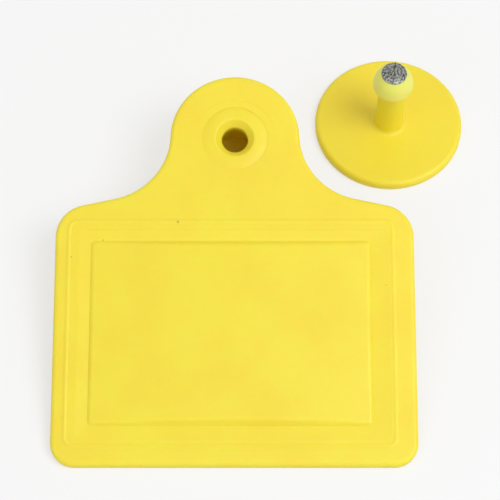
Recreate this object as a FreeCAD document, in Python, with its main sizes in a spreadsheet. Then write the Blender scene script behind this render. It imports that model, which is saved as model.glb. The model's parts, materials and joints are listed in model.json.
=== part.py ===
import FreeCAD, Part
import math
import os
import Sketcher

# Two-piece livestock ear tag: the female panel and the male button stud, lying side by side
# as two loose mouldings. Millimetres, +Z up. The origin is at the centre of the footprint,
# on the surface that both mouldings rest on.

SIZES = {
    "cut_clearance": 1,        # how far the profile of a cut stands clear of the solid

    "layout_width": 81.1,      # over both mouldings, along X
    "layout_depth": 90.1,      # over both mouldings, along Y

    # Panel, measured in its own plane from the axis of the hole in its head
    "panel_width": 69.5,
    "hole_to_bottom": 64.9,
    "plate_thickness": 1.9,
    "rim_radius": 0.9,
    "bottom_corner": 4.5,
    "top_corner": 6.5,
    "corner_drop": 19.9,       # hole axis down to the centres of the top corners
    "shoulder_slope": 12,      # degrees
    "shoulder_radius": 13.5,
    "head_radius": 12.7,
    "head_rise": 0.3,          # centre of the head above the hole axis

    # Frame: nested rectangles, each as left, right, bottom and top from the hole axis.
    # Heights are above the border of the panel.
    "bead_left": 32.1,
    "bead_right": 30.6,
    "bead_bottom": 61.1,
    "bead_top": 17,
    "bead_corner": 1.6,
    "bead_slope": 0.5,         # width of the slope outside the bead
    "bead_crest": 0.12,        # width of its crest
    "bead_fall": 0.35,         # width of the slope inside it
    "bead_height": 0.18,
    "shelf_height": 0.09,
    "band_left": 30,
    "band_right": 29.6,
    "band_bottom": 59.9,
    "band_top": 18.7,
    "band_corner": 1,
    "band_height": 0.04,       # outer edge of the dished band, a crisp step below the shelf
    "valley_depth": 0.16,      # foot of the field, below the border
    "field_left": 27.8,
    "field_right": 26.3,
    "field_bottom": 57.2,
    "field_top": 21,
    "field_corner": 0.9,
    "field_slope": 1.2,        # width of the slope round the field, if it rose to the middle
    "field_height": 0.95,      # middle of the crowned field
    "field_roll": 0.8,
    "crown_reach": 30,         # the crown falls by crown_fall over this length, along X
    "crown_fall": 0.75,
    "crown_bow": 1100,         # radius of its slight bow along Y
    "crown_sweep": 3,          # degrees, enough for the bow to span the field

    # Head: stepped rings, mound, funnel, collar and closed cap
    "ring_outer": 8,
    "ring_inner": 6.45,
    "ring_depth": 0.07,
    "mound_foot": 0.17,
    "mound_curve": 7,
    "mound_height": 0.25,
    "crest_radius": 3.8,
    "crest_round": 0.3,
    "funnel_depth": 1.1,
    "hole_radius": 2.62,
    "collar_depth": 2.6,       # entry face down to the inner face of the collar
    "chamber_radius": 4.4,
    "chamber_depth": 12.8,
    "cap_length": 14.4,        # entry face down to the outside of the closed end
    "cap_root": 6.4,
    "cap_flare": 0.8,
    "cap_end": 5.8,
    "cap_chamfer": 1.2,

    # Button stud, measured from the underside of its button
    "button_radius": 15,
    "button_thickness": 2,
    "button_edge": 0.95,       # rounded upper edge
    "button_chamfer": 0.3,     # lower edge
    "stem_base": 2.9,
    "stem_top": 2.6,
    "stem_fillet": 0.9,
    "barb_height": 16,
    "barb_radius": 4,
    "barb_edge": 0.2,          # thickness of the barb's thin moulded edge
    "dome_curve": 5.6,
    "seat_height": 20,
    "bore_radius": 1.6,
    "bore_depth": 11,
    "bore_cone": 1,
    "lead_in_radius": 2.8,     # the cone that guides the pin into the bore
    "lead_in_depth": 2.2,

    # Metal point, moulded into the barbed head
    "point_radius": 2.5,
    "point_band": 0.2,
    "point_length": 4.3,
    "point_curve": 5.6,
    "tip_radius": 0.08,
    "shank_radius": 1.3,
    "shank_length": 6,
    "flange_radius": 2,
    "flange_foot": 2,          # foot of the shank up to its flange
    "flange_thickness": 1,
}


class Size:
    """A length, together with the spreadsheet expression that gives it."""

    def __init__(self, value, text):
        self.value = value
        self.text = text

    def __add__(self, other):
        return Size(self.value + other.value, f"({self.text} + {other.text})")

    def __sub__(self, other):
        return Size(self.value - other.value, f"({self.text} - {other.text})")

    def __mul__(self, other):
        return Size(self.value * other.value, f"({self.text} * {other.text})")

    def __truediv__(self, other):
        return Size(self.value / other.value, f"({self.text} / {other.text})")

    def __neg__(self):
        return Size(-self.value, f"(-{self.text})")


def number(value):
    return Size(value, str(value))


class Cells:
    """The sheet's cells as attributes, such as cell.hole_radius."""

    def __init__(self, table):
        for name, value in table.items():
            setattr(self, name, Size(value, f"dimensions.{name}"))


cell = Cells(SIZES)
NONE = number(0)
TWO = number(2)
doc = FreeCAD.newDocument("ear_tag")


def make_sheet():
    sheet = doc.addObject("Spreadsheet::Sheet", "dimensions")
    for row, (name, value) in enumerate(SIZES.items(), start=1):
        sheet.set(f"A{row}", name)
        sheet.set(f"B{row}", str(value))
        sheet.setAlias(f"B{row}", name)
    doc.recompute()


def new_body(name):
    body = doc.addObject("PartDesign::Body", name)
    body.Label = name
    return body


def new_sketch(body, name, role="XY_Plane"):
    plane = [feature for feature in body.Origin.OriginFeatures if feature.Role == role][0]
    sketch = body.newObject("Sketcher::SketchObject", name)
    sketch.AttachmentSupport = [(plane, "")]
    sketch.MapMode = "FlatFace"
    return sketch


def shift_sketch(sketch, shifts):
    """Move a sketch along the axes of its own plane: shifts are (axis, size) pairs."""
    offset = FreeCAD.Placement()
    for axis, length in shifts:
        setattr(offset.Base, axis, length.value)
    sketch.AttachmentOffset = offset
    for axis, length in shifts:
        sketch.setExpression(f"AttachmentOffset.Base.{axis}", length.text)


def constrain(sketch, kind, where, length):
    """Add a dimension and bind it to the sheet."""
    index = sketch.addConstraint(Sketcher.Constraint(kind, *where, length.value))
    sketch.setExpression(f"Constraints[{index}]", length.text)


def add_stretch(sketch, start, end, radius=None):
    """Add a line, or an arc with its centre on the left, or on the right if the radius is
    negative. Returns which of the new element's ends lies at start."""
    if radius is None:
        sketch.addGeometry(Part.LineSegment(start, end))
        return 1
    chord = end - start
    left = FreeCAD.Vector(-chord.y, chord.x, 0).normalize()
    reach = math.sqrt(radius ** 2 - (chord.Length / 2) ** 2)
    centre = (start + end) / 2 + left * math.copysign(reach, radius)
    angles = [math.atan2(point.y - centre.y, point.x - centre.x) for point in (start, end)]
    if radius < 0:
        angles.reverse()
    circle = Part.Circle(centre, FreeCAD.Vector(0, 0, 1), abs(radius))
    sketch.addGeometry(Part.ArcOfCircle(circle, *angles))
    return 1 if radius > 0 else 2


def join_stretches(sketch, kind, starts):
    """Join each stretch to the next, all the way round."""
    for index, start in enumerate(starts):
        after = (index + 1) % len(starts)
        sketch.addConstraint(Sketcher.Constraint(kind, index, 3 - start, after, starts[after]))


def draw_profile(sketch, corners):
    """Closed profile through corners (x, y). A third entry makes the stretch that leaves
    the corner an arc of that radius, signed as in add_stretch."""
    points = [FreeCAD.Vector(corner[0].value, corner[1].value, 0) for corner in corners]
    starts = []
    for index, corner in enumerate(corners):
        radius = corner[2].value if len(corner) == 3 else None
        end = points[(index + 1) % len(points)]
        starts.append(add_stretch(sketch, points[index], end, radius))
    join_stretches(sketch, "Coincident", starts)
    for index, corner in enumerate(corners):
        constrain(sketch, "DistanceX", (-1, 1, index, starts[index]), corner[0])
        constrain(sketch, "DistanceY", (-1, 1, index, starts[index]), corner[1])
        if len(corner) == 3:
            radius = corner[2] if corner[2].value > 0 else -corner[2]
            constrain(sketch, "Radius", (index,), radius)


def rounded_rectangle(body, name, height, sides, inset, corner):
    """Rectangle with round corners, parallel to the panel. Sides are left, right, bottom
    and top from the hole axis, and inset moves them all inwards."""
    left, right, bottom, top = sides
    x_min, x_max = inset - left, right - inset
    y_min, y_max = inset - bottom, -top - inset
    sketch = new_sketch(body, name)
    shift_sketch(sketch, [("z", height)])
    draw_profile(sketch, [
        (x_min + corner, y_min),
        (x_max - corner, y_min, corner),
        (x_max, y_min + corner),
        (x_max, y_max - corner, corner),
        (x_max - corner, y_max),
        (x_min + corner, y_max, corner),
        (x_min, y_max - corner),
        (x_min, y_min + corner, corner),
    ])
    return sketch


def loft(body, kind, name, sections):
    feature = body.newObject(f"PartDesign::{kind}Loft", name)
    feature.Profile = sections[0]
    feature.Sections = sections[1:]
    feature.Ruled = True
    doc.recompute()


def revolve(body, kind, name, corners, shifts=()):
    """Revolution or Groove of a profile given as (radius, height) corners."""
    sketch = new_sketch(body, f"{name}_profile", "XZ_Plane")
    shift_sketch(sketch, shifts)
    draw_profile(sketch, corners)
    feature = body.newObject(f"PartDesign::{kind}", name)
    feature.Profile = sketch
    feature.ReferenceAxis = (sketch, ["V_Axis"])
    feature.Angle = 360
    doc.recompute()


def fillet(body, name, edges, radius):
    base = body.Tip
    feature = body.newObject("PartDesign::Fillet", name)
    feature.Base = (base, edges)
    feature.Radius = radius.value
    feature.setExpression("Radius", radius.text)
    doc.recompute()


def edges_at(shape, height, reach):
    """Names of the edges that lie level at a height, within reach of the axis."""
    names = []
    for index, edge in enumerate(shape.Edges, start=1):
        box = edge.BoundBox
        level = max(abs(box.ZMin - height.value), abs(box.ZMax - height.value)) < 1e-3
        if level and max(box.XMax, -box.XMin, box.YMax, -box.YMin) < reach.value + 1e-3:
            names.append(f"Edge{index}")
    return names


def panel_outline(body):
    """A rectangle with round corners, whose shoulders sweep up to the round head."""
    half = SIZES["panel_width"] / 2
    bottom = -SIZES["hole_to_bottom"]
    low, high = SIZES["bottom_corner"], SIZES["top_corner"]
    neck, head = SIZES["shoulder_radius"], SIZES["head_radius"]
    slope = math.radians(SIZES["shoulder_slope"])
    across = FreeCAD.Vector(math.sin(slope), math.cos(slope), 0)
    along = FreeCAD.Vector(-math.cos(slope), math.sin(slope), 0)
    head_centre = FreeCAD.Vector(0, SIZES["head_rise"], 0)
    high_centre = FreeCAD.Vector(half - high, -SIZES["corner_drop"], 0)

    # The neck's arc touches both the sloping shoulder and the circle of the head
    slope_start = high_centre + across * high
    gap = slope_start + across * neck - head_centre
    ahead = gap.dot(along)
    run = -ahead - math.sqrt(ahead ** 2 - gap.dot(gap) + (head + neck) ** 2)
    slope_end = slope_start + along * run
    neck_centre = slope_end + across * neck
    neck_end = head_centre + (neck_centre - head_centre) * (head / (head + neck))

    base_end = FreeCAD.Vector(half - low, bottom, 0)
    side_start = FreeCAD.Vector(half, bottom + low, 0)
    side_end = FreeCAD.Vector(half, high_centre.y, 0)
    rising = [(base_end, low), (side_start, None), (side_end, high), (slope_start, None),
              (slope_end, -neck)]
    points = [point for point, radius in rising] + [neck_end]
    radii = [radius for point, radius in rising]
    points += [FreeCAD.Vector(-point.x, point.y, 0) for point in reversed(points)]
    radii += [head] + radii[::-1] + [None]

    sketch = new_sketch(body, "panel_outline")
    starts = []
    for index, radius in enumerate(radii):
        end = points[(index + 1) % len(points)]
        starts.append(add_stretch(sketch, points[index], end, radius))
    join_stretches(sketch, "Tangent", starts)

    crown, base = 5, 11
    sketch.addConstraint(Sketcher.Constraint("Horizontal", base))
    sketch.addConstraint(Sketcher.Constraint("PointOnObject", crown, 3, -2))
    constrain(sketch, "DistanceY", (-1, 1, crown, 3), cell.head_rise)
    constrain(sketch, "Radius", (crown,), cell.head_radius)
    constrain(sketch, "DistanceY", (-1, 1, base, 1), -cell.hole_to_bottom)
    right_side = (0, 1, 2, 3, 4, 1)
    left_side = (10, 9, 8, 7, 6, -1)
    for corner, side, top, shoulder, curve, turn in (right_side, left_side):
        edge = number(turn) * cell.panel_width / TWO
        angle = number(turn * 180) - number(turn) * cell.shoulder_slope
        sketch.addConstraint(Sketcher.Constraint("Vertical", side))
        constrain(sketch, "DistanceX", (-1, 1, side, 1), edge)
        constrain(sketch, "Radius", (corner,), cell.bottom_corner)
        constrain(sketch, "Radius", (top,), cell.top_corner)
        constrain(sketch, "DistanceY", (-1, 1, top, 3), -cell.corner_drop)
        constrain(sketch, "Radius", (curve,), cell.shoulder_radius)
        index = sketch.addConstraint(
            Sketcher.Constraint("Angle", shoulder, math.radians(angle.value)))
        sketch.setExpression(f"Constraints[{index}]", angle.text)
    return sketch


def add_plate(body):
    plate = body.newObject("PartDesign::Pad", "plate")
    plate.Profile = panel_outline(body)
    plate.Length = SIZES["plate_thickness"]
    plate.setExpression("Length", cell.plate_thickness.text)
    plate.Reversed = True
    doc.recompute()
    fillet(body, "rounded_rim", edges_at(plate.Shape, NONE, cell.hole_to_bottom),
           cell.rim_radius)


def add_frame(body):
    """Low bead, shelf, and the band that dishes down to the foot of the field."""
    bead = [cell.bead_left, cell.bead_right, cell.bead_bottom, cell.bead_top]
    band = [cell.band_left, cell.band_right, cell.band_bottom, cell.band_top]
    field = [cell.field_left, cell.field_right, cell.field_bottom, cell.field_top]
    crest_end = cell.bead_crest
    shelf_start = cell.bead_crest + cell.bead_fall
    loft(body, "Additive", "bead", [
        rounded_rectangle(body, "bead_foot", NONE, bead, -cell.bead_slope,
                          cell.bead_corner + cell.bead_slope),
        rounded_rectangle(body, "bead_top", cell.bead_height, bead, NONE, cell.bead_corner),
    ])
    loft(body, "Subtractive", "shelf", [
        rounded_rectangle(body, "bead_inside", cell.bead_height, bead, crest_end,
                          cell.bead_corner - crest_end),
        rounded_rectangle(body, "shelf_outside", cell.shelf_height, bead, shelf_start,
                          cell.bead_corner - shelf_start),
    ])
    loft(body, "Subtractive", "band_step", [
        rounded_rectangle(body, "step_top", cell.shelf_height, band, NONE, cell.band_corner),
        rounded_rectangle(body, "step_foot", cell.band_height, band, NONE, cell.band_corner),
    ])
    loft(body, "Subtractive", "band", [
        rounded_rectangle(body, "band_outside", cell.band_height, band, NONE,
                          cell.band_corner),
        rounded_rectangle(body, "band_inside", -cell.valley_depth, field, NONE,
                          cell.field_corner),
    ])


def make_field():
    """Raised writing field: sloping sides under a crowned top, rolled over at its edges."""
    body = new_body("writing_field")
    field = [cell.field_left, cell.field_right, cell.field_bottom, cell.field_top]
    loft(body, "Additive", "field", [
        rounded_rectangle(body, "field_foot", -cell.plate_thickness / TWO, field, NONE,
                          cell.field_corner),
        rounded_rectangle(body, "field_rise", -cell.valley_depth, field, NONE,
                          cell.field_corner),
        rounded_rectangle(body, "field_top", cell.field_height, field, cell.field_slope,
                          cell.field_corner),
    ])
    reach, fall, bow = cell.crown_reach, cell.crown_fall, cell.crown_bow
    crown_curve = (reach * reach + fall * fall) / (TWO * fall)
    sketch = new_sketch(body, "crown_profile", "XZ_Plane")
    shift_sketch(sketch, [("x", (cell.field_right - cell.field_left) / TWO),
                          ("y", cell.field_height - bow),
                          ("z", (cell.field_bottom + cell.field_top) / TWO)])
    draw_profile(sketch, [
        (-reach, bow - fall, -crown_curve),
        (reach, bow - fall),
        (reach, bow + cell.cut_clearance),
        (-reach, bow + cell.cut_clearance),
    ])
    crown = body.newObject("PartDesign::Groove", "crown")
    crown.Profile = sketch
    crown.ReferenceAxis = (sketch, ["H_Axis"])
    crown.Midplane = True
    crown.Angle = SIZES["crown_sweep"]
    crown.setExpression("Angle", cell.crown_sweep.text)
    doc.recompute()
    dome = max(body.Shape.Faces, key=lambda face: face.CenterOfMass.z * face.Area)
    names = [f"Edge{index}" for index, edge in enumerate(body.Shape.Edges, start=1)
             if any(edge.isSame(rim) for rim in dome.Edges)]
    fillet(body, "rolled_edge", names, cell.field_roll)
    return body


def add_field(body):
    join = body.newObject("PartDesign::Boolean", "field_on_plate")
    join.setObjects([make_field()])
    join.Type = "Fuse"
    doc.recompute()


def add_head(body):
    """Rings, mound and funnel above, and the closed cap that swallows the point below."""
    revolve(body, "Revolution", "cap", [
        (NONE, -cell.cap_length),
        (cell.cap_end - cell.cap_chamfer, -cell.cap_length),
        (cell.cap_end, cell.cap_chamfer - cell.cap_length),
        (cell.cap_root, -cell.plate_thickness - cell.cap_flare),
        (cell.cap_root + cell.cap_flare, -cell.plate_thickness),
        (cell.ring_inner, -cell.plate_thickness / TWO),
        (cell.ring_inner, cell.mound_height),
        (NONE, cell.mound_height),
    ])
    clear = cell.mound_height + cell.cut_clearance
    revolve(body, "Groove", "rings", [
        (cell.ring_outer, clear),
        (cell.crest_radius, clear),
        (cell.crest_radius, cell.mound_height, -cell.mound_curve),
        (cell.ring_inner, -cell.mound_foot),
        (cell.ring_inner, -cell.ring_depth),
        (cell.ring_outer, -cell.ring_depth),
    ])
    revolve(body, "Groove", "funnel_and_chamber", [
        (NONE, -cell.chamber_depth),
        (cell.chamber_radius, -cell.chamber_depth),
        (cell.chamber_radius, -cell.collar_depth),
        (cell.hole_radius, -cell.collar_depth),
        (cell.hole_radius, -cell.funnel_depth),
        (cell.crest_radius, cell.mound_height),
        (cell.crest_radius, clear),
        (NONE, clear),
    ])
    fillet(body, "crest", edges_at(body.Shape, cell.mound_height, cell.crest_radius),
           cell.crest_round)


def lay_panel(body):
    """Rest the panel on its bottom edge and on its cap, with the head end raised."""
    run = cell.hole_to_bottom - cell.cap_end + cell.cap_chamfer
    drop = cell.cap_length - cell.plate_thickness
    tilt = math.atan(drop.value / run.value)
    tilt_text = f"atan({drop.text} / {run.text})"
    cosine = Size(math.cos(tilt), f"cos({tilt_text})")
    sine = Size(math.sin(tilt), f"sin({tilt_text})")
    rim = cell.rim_radius
    base_x = (cell.panel_width - cell.layout_width) / TWO
    base_y = ((cell.hole_to_bottom - rim) * cosine + rim - rim * sine
              - cell.layout_depth / TWO)
    base_z = cell.hole_to_bottom * sine + cell.plate_thickness * cosine
    body.Placement = FreeCAD.Placement(
        FreeCAD.Vector(base_x.value, base_y.value, base_z.value),
        FreeCAD.Rotation(FreeCAD.Vector(1, 0, 0), math.degrees(tilt)))
    body.setExpression("Placement.Base.x", base_x.text)
    body.setExpression("Placement.Base.y", base_y.text)
    body.setExpression("Placement.Base.z", base_z.text)
    body.setExpression("Placement.Rotation.Angle", tilt_text)


def make_panel():
    body = new_body("tag_panel")
    add_plate(body)
    add_frame(body)
    add_field(body)
    add_head(body)
    lay_panel(body)
    return body


def shank_corners():
    """The buried shank of the metal point with its holding flange, from the foot up."""
    foot = cell.seat_height - cell.shank_length
    flange = foot + cell.flange_foot
    flange_end = flange + cell.flange_thickness
    return [
        (NONE, foot),
        (cell.shank_radius, foot),
        (cell.shank_radius, flange),
        (cell.flange_radius, flange),
        (cell.flange_radius, flange_end),
        (cell.shank_radius, flange_end),
        (cell.shank_radius, cell.seat_height),
    ]


def stand_stud(body):
    """Stand a piece of the stud upright, at the far right of the layout."""
    base_x = cell.layout_width / TWO - cell.button_radius
    base_y = cell.layout_depth / TWO - cell.button_radius
    body.Placement.Base = FreeCAD.Vector(base_x.value, base_y.value, 0)
    body.setExpression("Placement.Base.x", base_x.text)
    body.setExpression("Placement.Base.y", base_y.text)


def make_stud():
    body = new_body("button_stud")
    edge = cell.button_edge
    revolve(body, "Revolution", "stud", [
        (NONE, NONE),
        (cell.button_radius - cell.button_chamfer, NONE),
        (cell.button_radius, cell.button_chamfer),
        (cell.button_radius, cell.button_thickness - edge, edge),
        (cell.button_radius - edge, cell.button_thickness),
        (cell.stem_base + cell.stem_fillet, cell.button_thickness, -cell.stem_fillet),
        (cell.stem_base, cell.button_thickness + cell.stem_fillet),
        (cell.stem_top, cell.barb_height),
        (cell.barb_radius, cell.barb_height),
        (cell.barb_radius, cell.barb_height + cell.barb_edge, cell.dome_curve),
        (cell.point_radius, cell.seat_height),
        (NONE, cell.seat_height),
    ])
    revolve(body, "Groove", "pin_bore", [
        (NONE, NONE),
        (cell.lead_in_radius, NONE),
        (cell.bore_radius, cell.lead_in_depth),
        (cell.bore_radius, cell.bore_depth),
        (NONE, cell.bore_depth + cell.bore_cone),
    ])
    revolve(body, "Groove", "shank_pocket", shank_corners() + [(NONE, cell.seat_height)])
    stand_stud(body)
    return body


def make_point():
    body = new_body("metal_point")
    tip = cell.seat_height + cell.point_length
    revolve(body, "Revolution", "point", shank_corners() + [
        (cell.point_radius, cell.seat_height),
        (cell.point_radius, cell.seat_height + cell.point_band, -cell.point_curve),
        (cell.tip_radius, tip),
        (NONE, tip),
    ])
    stand_stud(body)
    return body


def check_document(bodies):
    for feature in doc.Objects:
        if "Invalid" in feature.State or "Error" in feature.State:
            raise RuntimeError(f"{feature.Name} did not compute: {feature.State}")
    for body in bodies:
        if body.Shape.isNull() or not body.Shape.isValid():
            raise RuntimeError(f"{body.Label} has no valid shape")
        box = body.Shape.BoundBox
        print(f"{body.Label}: {body.Shape.Volume:.0f} mm3, {len(body.Shape.Solids)} solid,"
              f" {box.XMin:.2f}..{box.XMax:.2f}, {box.YMin:.2f}..{box.YMax:.2f},"
              f" {box.ZMin:.2f}..{box.ZMax:.2f}")


make_sheet()
bodies = [make_panel(), make_stud(), make_point()]
doc.recompute()
check_document(bodies)
os.makedirs("parts", exist_ok=True)
for body in bodies:
    body.Shape.exportStep(f"parts/{body.Label}.step")
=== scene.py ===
import json
import math

import bpy
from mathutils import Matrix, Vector


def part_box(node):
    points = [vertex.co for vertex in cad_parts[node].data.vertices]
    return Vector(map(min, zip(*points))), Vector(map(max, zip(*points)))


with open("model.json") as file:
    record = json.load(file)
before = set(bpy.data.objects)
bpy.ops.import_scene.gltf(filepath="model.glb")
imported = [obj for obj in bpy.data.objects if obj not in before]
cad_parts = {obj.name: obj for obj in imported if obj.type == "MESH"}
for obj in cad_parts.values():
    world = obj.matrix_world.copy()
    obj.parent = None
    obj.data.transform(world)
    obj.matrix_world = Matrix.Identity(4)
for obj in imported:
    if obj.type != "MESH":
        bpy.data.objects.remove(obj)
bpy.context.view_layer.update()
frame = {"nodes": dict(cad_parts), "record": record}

mm = 0.001
acrossAxis, backAxis, upAxis = Vector((1, 0, 0)), Vector((0, 1, 0)), Vector((0, 0, 1))
boreToFace = 1.85 * mm                       # middle of the collar's bore up to the panel's face

# The panel lies tilted on its cap, so its patterns are laid out along its own face.
collar = next(mount for mount in frame["record"]["mounts"] if mount["name"] == "collar_bore")
faceNormal = Vector(collar["axis"])
faceAcross = acrossAxis
faceUp = faceNormal.cross(faceAcross)
holeCentre = Vector(collar["pos_m"]) + faceNormal * boreToFace
studLow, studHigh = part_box("button_stud")
studFoot = Vector(((studLow.x + studHigh.x) / 2, (studLow.y + studHigh.y) / 2, 0))


class Wire:                                  # a node's output that can stand in a sum
    def __init__(self, paint, socket):
        self.paint, self.socket = paint, socket

    def join(self, operation, first, second):
        return self.paint.add("Math", {"operation": operation}, {0: first, 1: second})["Value"]

    def __add__(self, other):
        return self.join("ADD", self, other)

    def __radd__(self, other):
        return self.join("ADD", other, self)

    def __sub__(self, other):
        return self.join("SUBTRACT", self, other)

    def __rsub__(self, other):
        return self.join("SUBTRACT", other, self)

    def __mul__(self, other):
        return self.join("MULTIPLY", self, other)

    def __rmul__(self, other):
        return self.join("MULTIPLY", other, self)

    def __pow__(self, other):
        return self.join("POWER", self, other)


class Node:
    def __init__(self, paint, node):
        self.paint, self.node = paint, node

    def __getitem__(self, name):
        return Wire(self.paint, self.node.outputs[name])


class Paint:                                 # the nodes of one material, or of the world
    def __init__(self, owner):
        owner.use_nodes = True
        self.owner, self.tree = owner, owner.node_tree
        self.tree.nodes.clear()

    def add(self, kind, settings={}, inputs={}):
        node = self.tree.nodes.new("ShaderNode" + kind)
        for name, value in settings.items():
            setattr(node, name, value)
        for name, value in inputs.items():
            if isinstance(value, Wire):
                self.tree.links.new(value.socket, node.inputs[name])
            else:
                node.inputs[name].default_value = value
        return Node(self, node)

    def smooth(self, value, low, high):      # 0 at low, 1 at high
        return self.add("MapRange", {"interpolation_type": "SMOOTHSTEP"},
                        {"Value": value, "From Min": low, "From Max": high})["Result"]

    def mix(self, share, first, second):
        return self.add("Mix", {"data_type": "RGBA"}, {0: share, 6: first, 7: second})[2]

    def noise(self, place, scale, detail, distortion=0.0):
        return self.add("TexNoise", {}, {"Vector": place, "Scale": scale, "Detail": detail,
                                         "Distortion": distortion})["Fac"]

    def measure(self, origin, *axes):        # distances from origin along each axis, in mm
        place = self.add("TexCoord")["Object"]
        moved = self.add("VectorMath", {"operation": "SUBTRACT"}, {0: place, 1: origin})["Vector"]
        return [self.add("VectorMath", {"operation": "DOT_PRODUCT"},
                         {0: moved, 1: axis / mm})["Value"] for axis in axes]

    def place(self, x, y, z):
        return self.add("CombineXYZ", {}, {"X": x, "Y": y, "Z": z})["Vector"]

    def far(self, x, y, centre):             # distance of (x, y) from a centre
        return ((x - centre[0]) ** 2 + (y - centre[1]) ** 2) ** 0.5

    def finish(self, shader):
        self.add("OutputMaterial", {}, {"Surface": shader})
        return self.owner


def opaque(color):
    return (*color, 1.0)


softPlastic = {                              # the same in both mouldings
    "IOR": 1.48,
    "Subsurface Weight": 0.55,
    "Subsurface Radius": (1.0, 0.55, 0.07),
    "Subsurface Scale": 1.6 * mm,
}

panelLook = {
    "color": (0.93, 0.78, 0.050),
    "deepColor": (0.90, 0.66, 0.030),        # where the plastic is warmer
    "cloudScale": 0.07,                      # per mm, of the patches between the two colours
    "cloudRange": (0.35, 0.7),
    "cloudShare": 0.35,
    "roughness": 0.36,
    "borderRoughness": 0.46,
    "grainSize": 0.55,                       # mm
    "grainHeight": 0.0022,                   # mm
    "waveSize": 17,                          # mm, of the slow waves in the field
    "waveHeight": 0.05,                      # mm
    "field": (-27.8, 26.3, -57.2, -21.0),    # left, right, bottom and top from the hole, mm
    "fieldEdge": 0.8,                        # mm over which the field's finish fades in
    "speckColor": (0.25, 0.2, 0.03),
    "speckShare": 0.6,
    "specks": [((-10.99, -17.16), 0.22), ((-31.58, -24.2), 0.13), ((-25.47, -20.79), 0.14),
               ((29.11, -29.78), 0.1)],
}


def plasticShader(paint, color, roughness, height):
    bump = paint.add("Bump", {}, {"Strength": 1.0, "Distance": mm, "Height": height})["Normal"]
    return paint.add("BsdfPrincipled", {"subsurface_method": "RANDOM_WALK"}, {
        **softPlastic,
        "Base Color": color,
        "Roughness": roughness,
        "Normal": bump,
    })["BSDF"]


def paintPanel():
    look = panelLook
    paint = Paint(bpy.data.materials.new("yellowPanelPlastic"))
    across, up = paint.measure(holeCentre, faceAcross, faceUp)
    place = paint.place(across, up, 0.0)
    left, right, bottom, top = look["field"]
    edge = look["fieldEdge"]
    inField = (paint.smooth(across, left, left + edge)
               * paint.smooth(-1 * across, -right, edge - right)
               * paint.smooth(up, bottom, bottom + edge)
               * paint.smooth(-1 * up, -top, edge - top))
    grain = paint.noise(place, 1 / look["grainSize"], 1.0)
    waves = paint.noise(place, 1 / look["waveSize"], 1.5, 0.6)
    height = (grain - 0.5) * look["grainHeight"] + (waves - 0.5) * look["waveHeight"] * inField
    clouds = paint.smooth(paint.noise(place, look["cloudScale"], 3.0), *look["cloudRange"])
    color = paint.mix(clouds * look["cloudShare"], opaque(look["color"]), opaque(look["deepColor"]))
    specks = 0.0
    for centre, radius in look["specks"]:
        specks = specks + paint.smooth(paint.far(across, up, centre), radius * 1.6, radius * 0.4)
    color = paint.mix(specks * look["speckShare"], color, opaque(look["speckColor"]))
    roughness = look["borderRoughness"] + inField * (look["roughness"] - look["borderRoughness"])
    return paint.finish(plasticShader(paint, color, roughness, height))


studLook = {
    "color": (0.93, 0.76, 0.045),
    "headColor": (0.86, 0.84, 0.17),
    "headFrom": 13.5,                        # mm above the floor
    "headBlend": 4,                          # mm over which the head's colour comes in
    "roughness": 0.42,
    "grainSize": 0.5,
    "grainHeight": 0.0016,
    "dents": [((-8.0, -5.7), 2.4, 0.05), ((-6.2, -7.2), 2.2, -0.05)],   # place, radius, depth
}


def paintStud():
    look = studLook
    paint = Paint(bpy.data.materials.new("yellowStudPlastic"))
    across, up, high = paint.measure(studFoot, acrossAxis, backAxis, upAxis)
    place = paint.place(across, up, high)
    head = paint.smooth(high, look["headFrom"], look["headFrom"] + look["headBlend"])
    color = paint.mix(head, opaque(look["color"]), opaque(look["headColor"]))
    height = (paint.noise(place, 1 / look["grainSize"], 1.0) - 0.5) * look["grainHeight"]
    for centre, radius, depth in look["dents"]:
        height = height - paint.smooth(paint.far(across, up, centre), radius, 0) * depth
    return paint.finish(plasticShader(paint, color, look["roughness"], height))


pointLook = {
    "dark": (0.045, 0.05, 0.045),
    "light": (0.42, 0.43, 0.40),
    "metallic": 0.9,
    "roughness": 0.45,
    "grainSize": 0.35,                       # mm
    "grainHeight": 0.05,                     # mm
    "grainDrawn": 0.4,                       # below 1 the grain is drawn out towards the tip
    "grainRange": (0.35, 0.68),              # dark below the first, light above the second
}


def paintPoint():
    look = pointLook
    paint = Paint(bpy.data.materials.new("castPointMetal"))
    across, up, high = paint.measure(studFoot, acrossAxis, backAxis, upAxis)
    place = paint.place(across, up, high * look["grainDrawn"])
    grain = paint.noise(place, 1 / look["grainSize"], 3.0, 0.4)
    shade = paint.smooth(grain, *look["grainRange"])
    color = paint.mix(shade, opaque(look["dark"]), opaque(look["light"]))
    bump = paint.add("Bump", {}, {"Distance": mm, "Height": grain * look["grainHeight"]})["Normal"]
    return paint.finish(paint.add("BsdfPrincipled", {}, {
        "Base Color": color,
        "Metallic": look["metallic"],
        "Roughness": look["roughness"],
        "Normal": bump,
    })["BSDF"])


def dress(name, material):
    node = frame["nodes"][name]
    node.data.materials.clear()
    node.data.materials.append(material)
    for polygon in node.data.polygons:
        polygon.material_index = 0


dress("tag_panel", paintPanel())
dress("button_stud", paintStud())
dress("metal_point", paintPoint())
print("materials on all three pieces")

studioLook = {
    "floorSize": 3,                          # m
    "floorColor": (0.86, 0.86, 0.86),
    "whiteness": 0.62,                       # how far the floor's own white hides its shading
    "skyStrength": 0.55,
    "key": {"power": 2.6, "size": 0.42, "from": (0.36, -0.16, 0.62)},
    "fill": {"power": 0.5, "size": 0.5, "from": (-0.45, -0.35, 0.5)},
}
cameraLook = {"elevation": 62.7, "distance": 0.3952, "lens": 142.9,
              "aim": (-2.83 * mm, 1.38 * mm, 0)}


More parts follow.
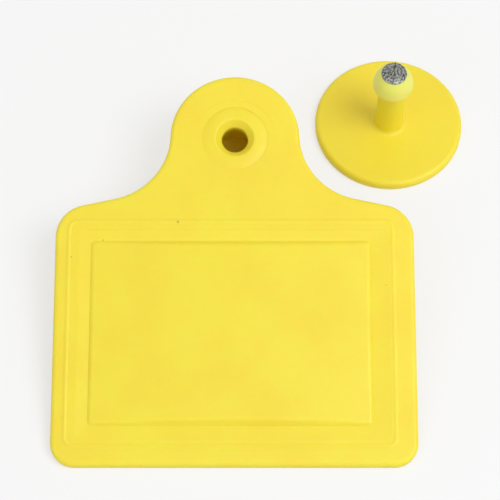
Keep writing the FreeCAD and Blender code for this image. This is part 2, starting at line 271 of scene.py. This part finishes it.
def seenDirectly(paint):                     # 1 for the camera and for shiny or clear surfaces
    rays = paint.add("LightPath")
    both = rays["Is Camera Ray"] + rays["Is Glossy Ray"] + rays["Is Transmission Ray"]
    return paint.smooth(both, 0, 1)


def makeFloor():
    bpy.ops.mesh.primitive_plane_add(size=studioLook["floorSize"])
    floor = bpy.context.object
    floor.name = "floor"
    paint = Paint(bpy.data.materials.new("paleFloor"))
    plain = paint.add("BsdfDiffuse", {}, {"Color": opaque(studioLook["floorColor"])})["BSDF"]
    white = paint.add("Emission", {}, {"Color": (1, 1, 1, 1), "Strength": 1.0})["Emission"]
    share = seenDirectly(paint) * studioLook["whiteness"]
    floor.data.materials.append(paint.finish(
        paint.add("MixShader", {}, {0: share, 1: plain, 2: white})["Shader"]))


def makeSky():
    world = bpy.data.worlds.new("paleSky")
    bpy.context.scene.world = world
    paint = Paint(world)
    seen = seenDirectly(paint)
    strength = studioLook["skyStrength"] + seen * (1 - studioLook["skyStrength"])
    sky = paint.add("Background", {}, {"Color": (1, 1, 1, 1), "Strength": strength})["Background"]
    paint.add("OutputWorld", {}, {"Surface": sky})


def makeLamp(name):
    look = studioLook[name]
    lamp = bpy.data.lights.new(name, "AREA")
    lamp.energy, lamp.size = look["power"], look["size"]
    holder = bpy.data.objects.new(name, lamp)
    holder.location = look["from"]
    holder.rotation_euler = (-Vector(look["from"])).to_track_quat("-Z", "Y").to_euler()
    bpy.context.collection.objects.link(holder)


def makeCamera():
    look = cameraLook
    camera = bpy.data.cameras.new("camera")
    camera.lens = look["lens"]
    holder = bpy.data.objects.new("camera", camera)
    rise = math.radians(look["elevation"])
    back = Vector((0, -math.cos(rise), math.sin(rise)))
    holder.location = Vector(look["aim"]) + back * look["distance"]
    holder.rotation_euler = (-back).to_track_quat("-Z", "Y").to_euler()
    bpy.context.collection.objects.link(holder)
    bpy.context.scene.camera = holder


makeFloor()
makeSky()
makeLamp("key")
makeLamp("fill")
makeCamera()
bpy.context.scene.view_settings.view_transform = "Standard"
print("floor, light and camera in place")
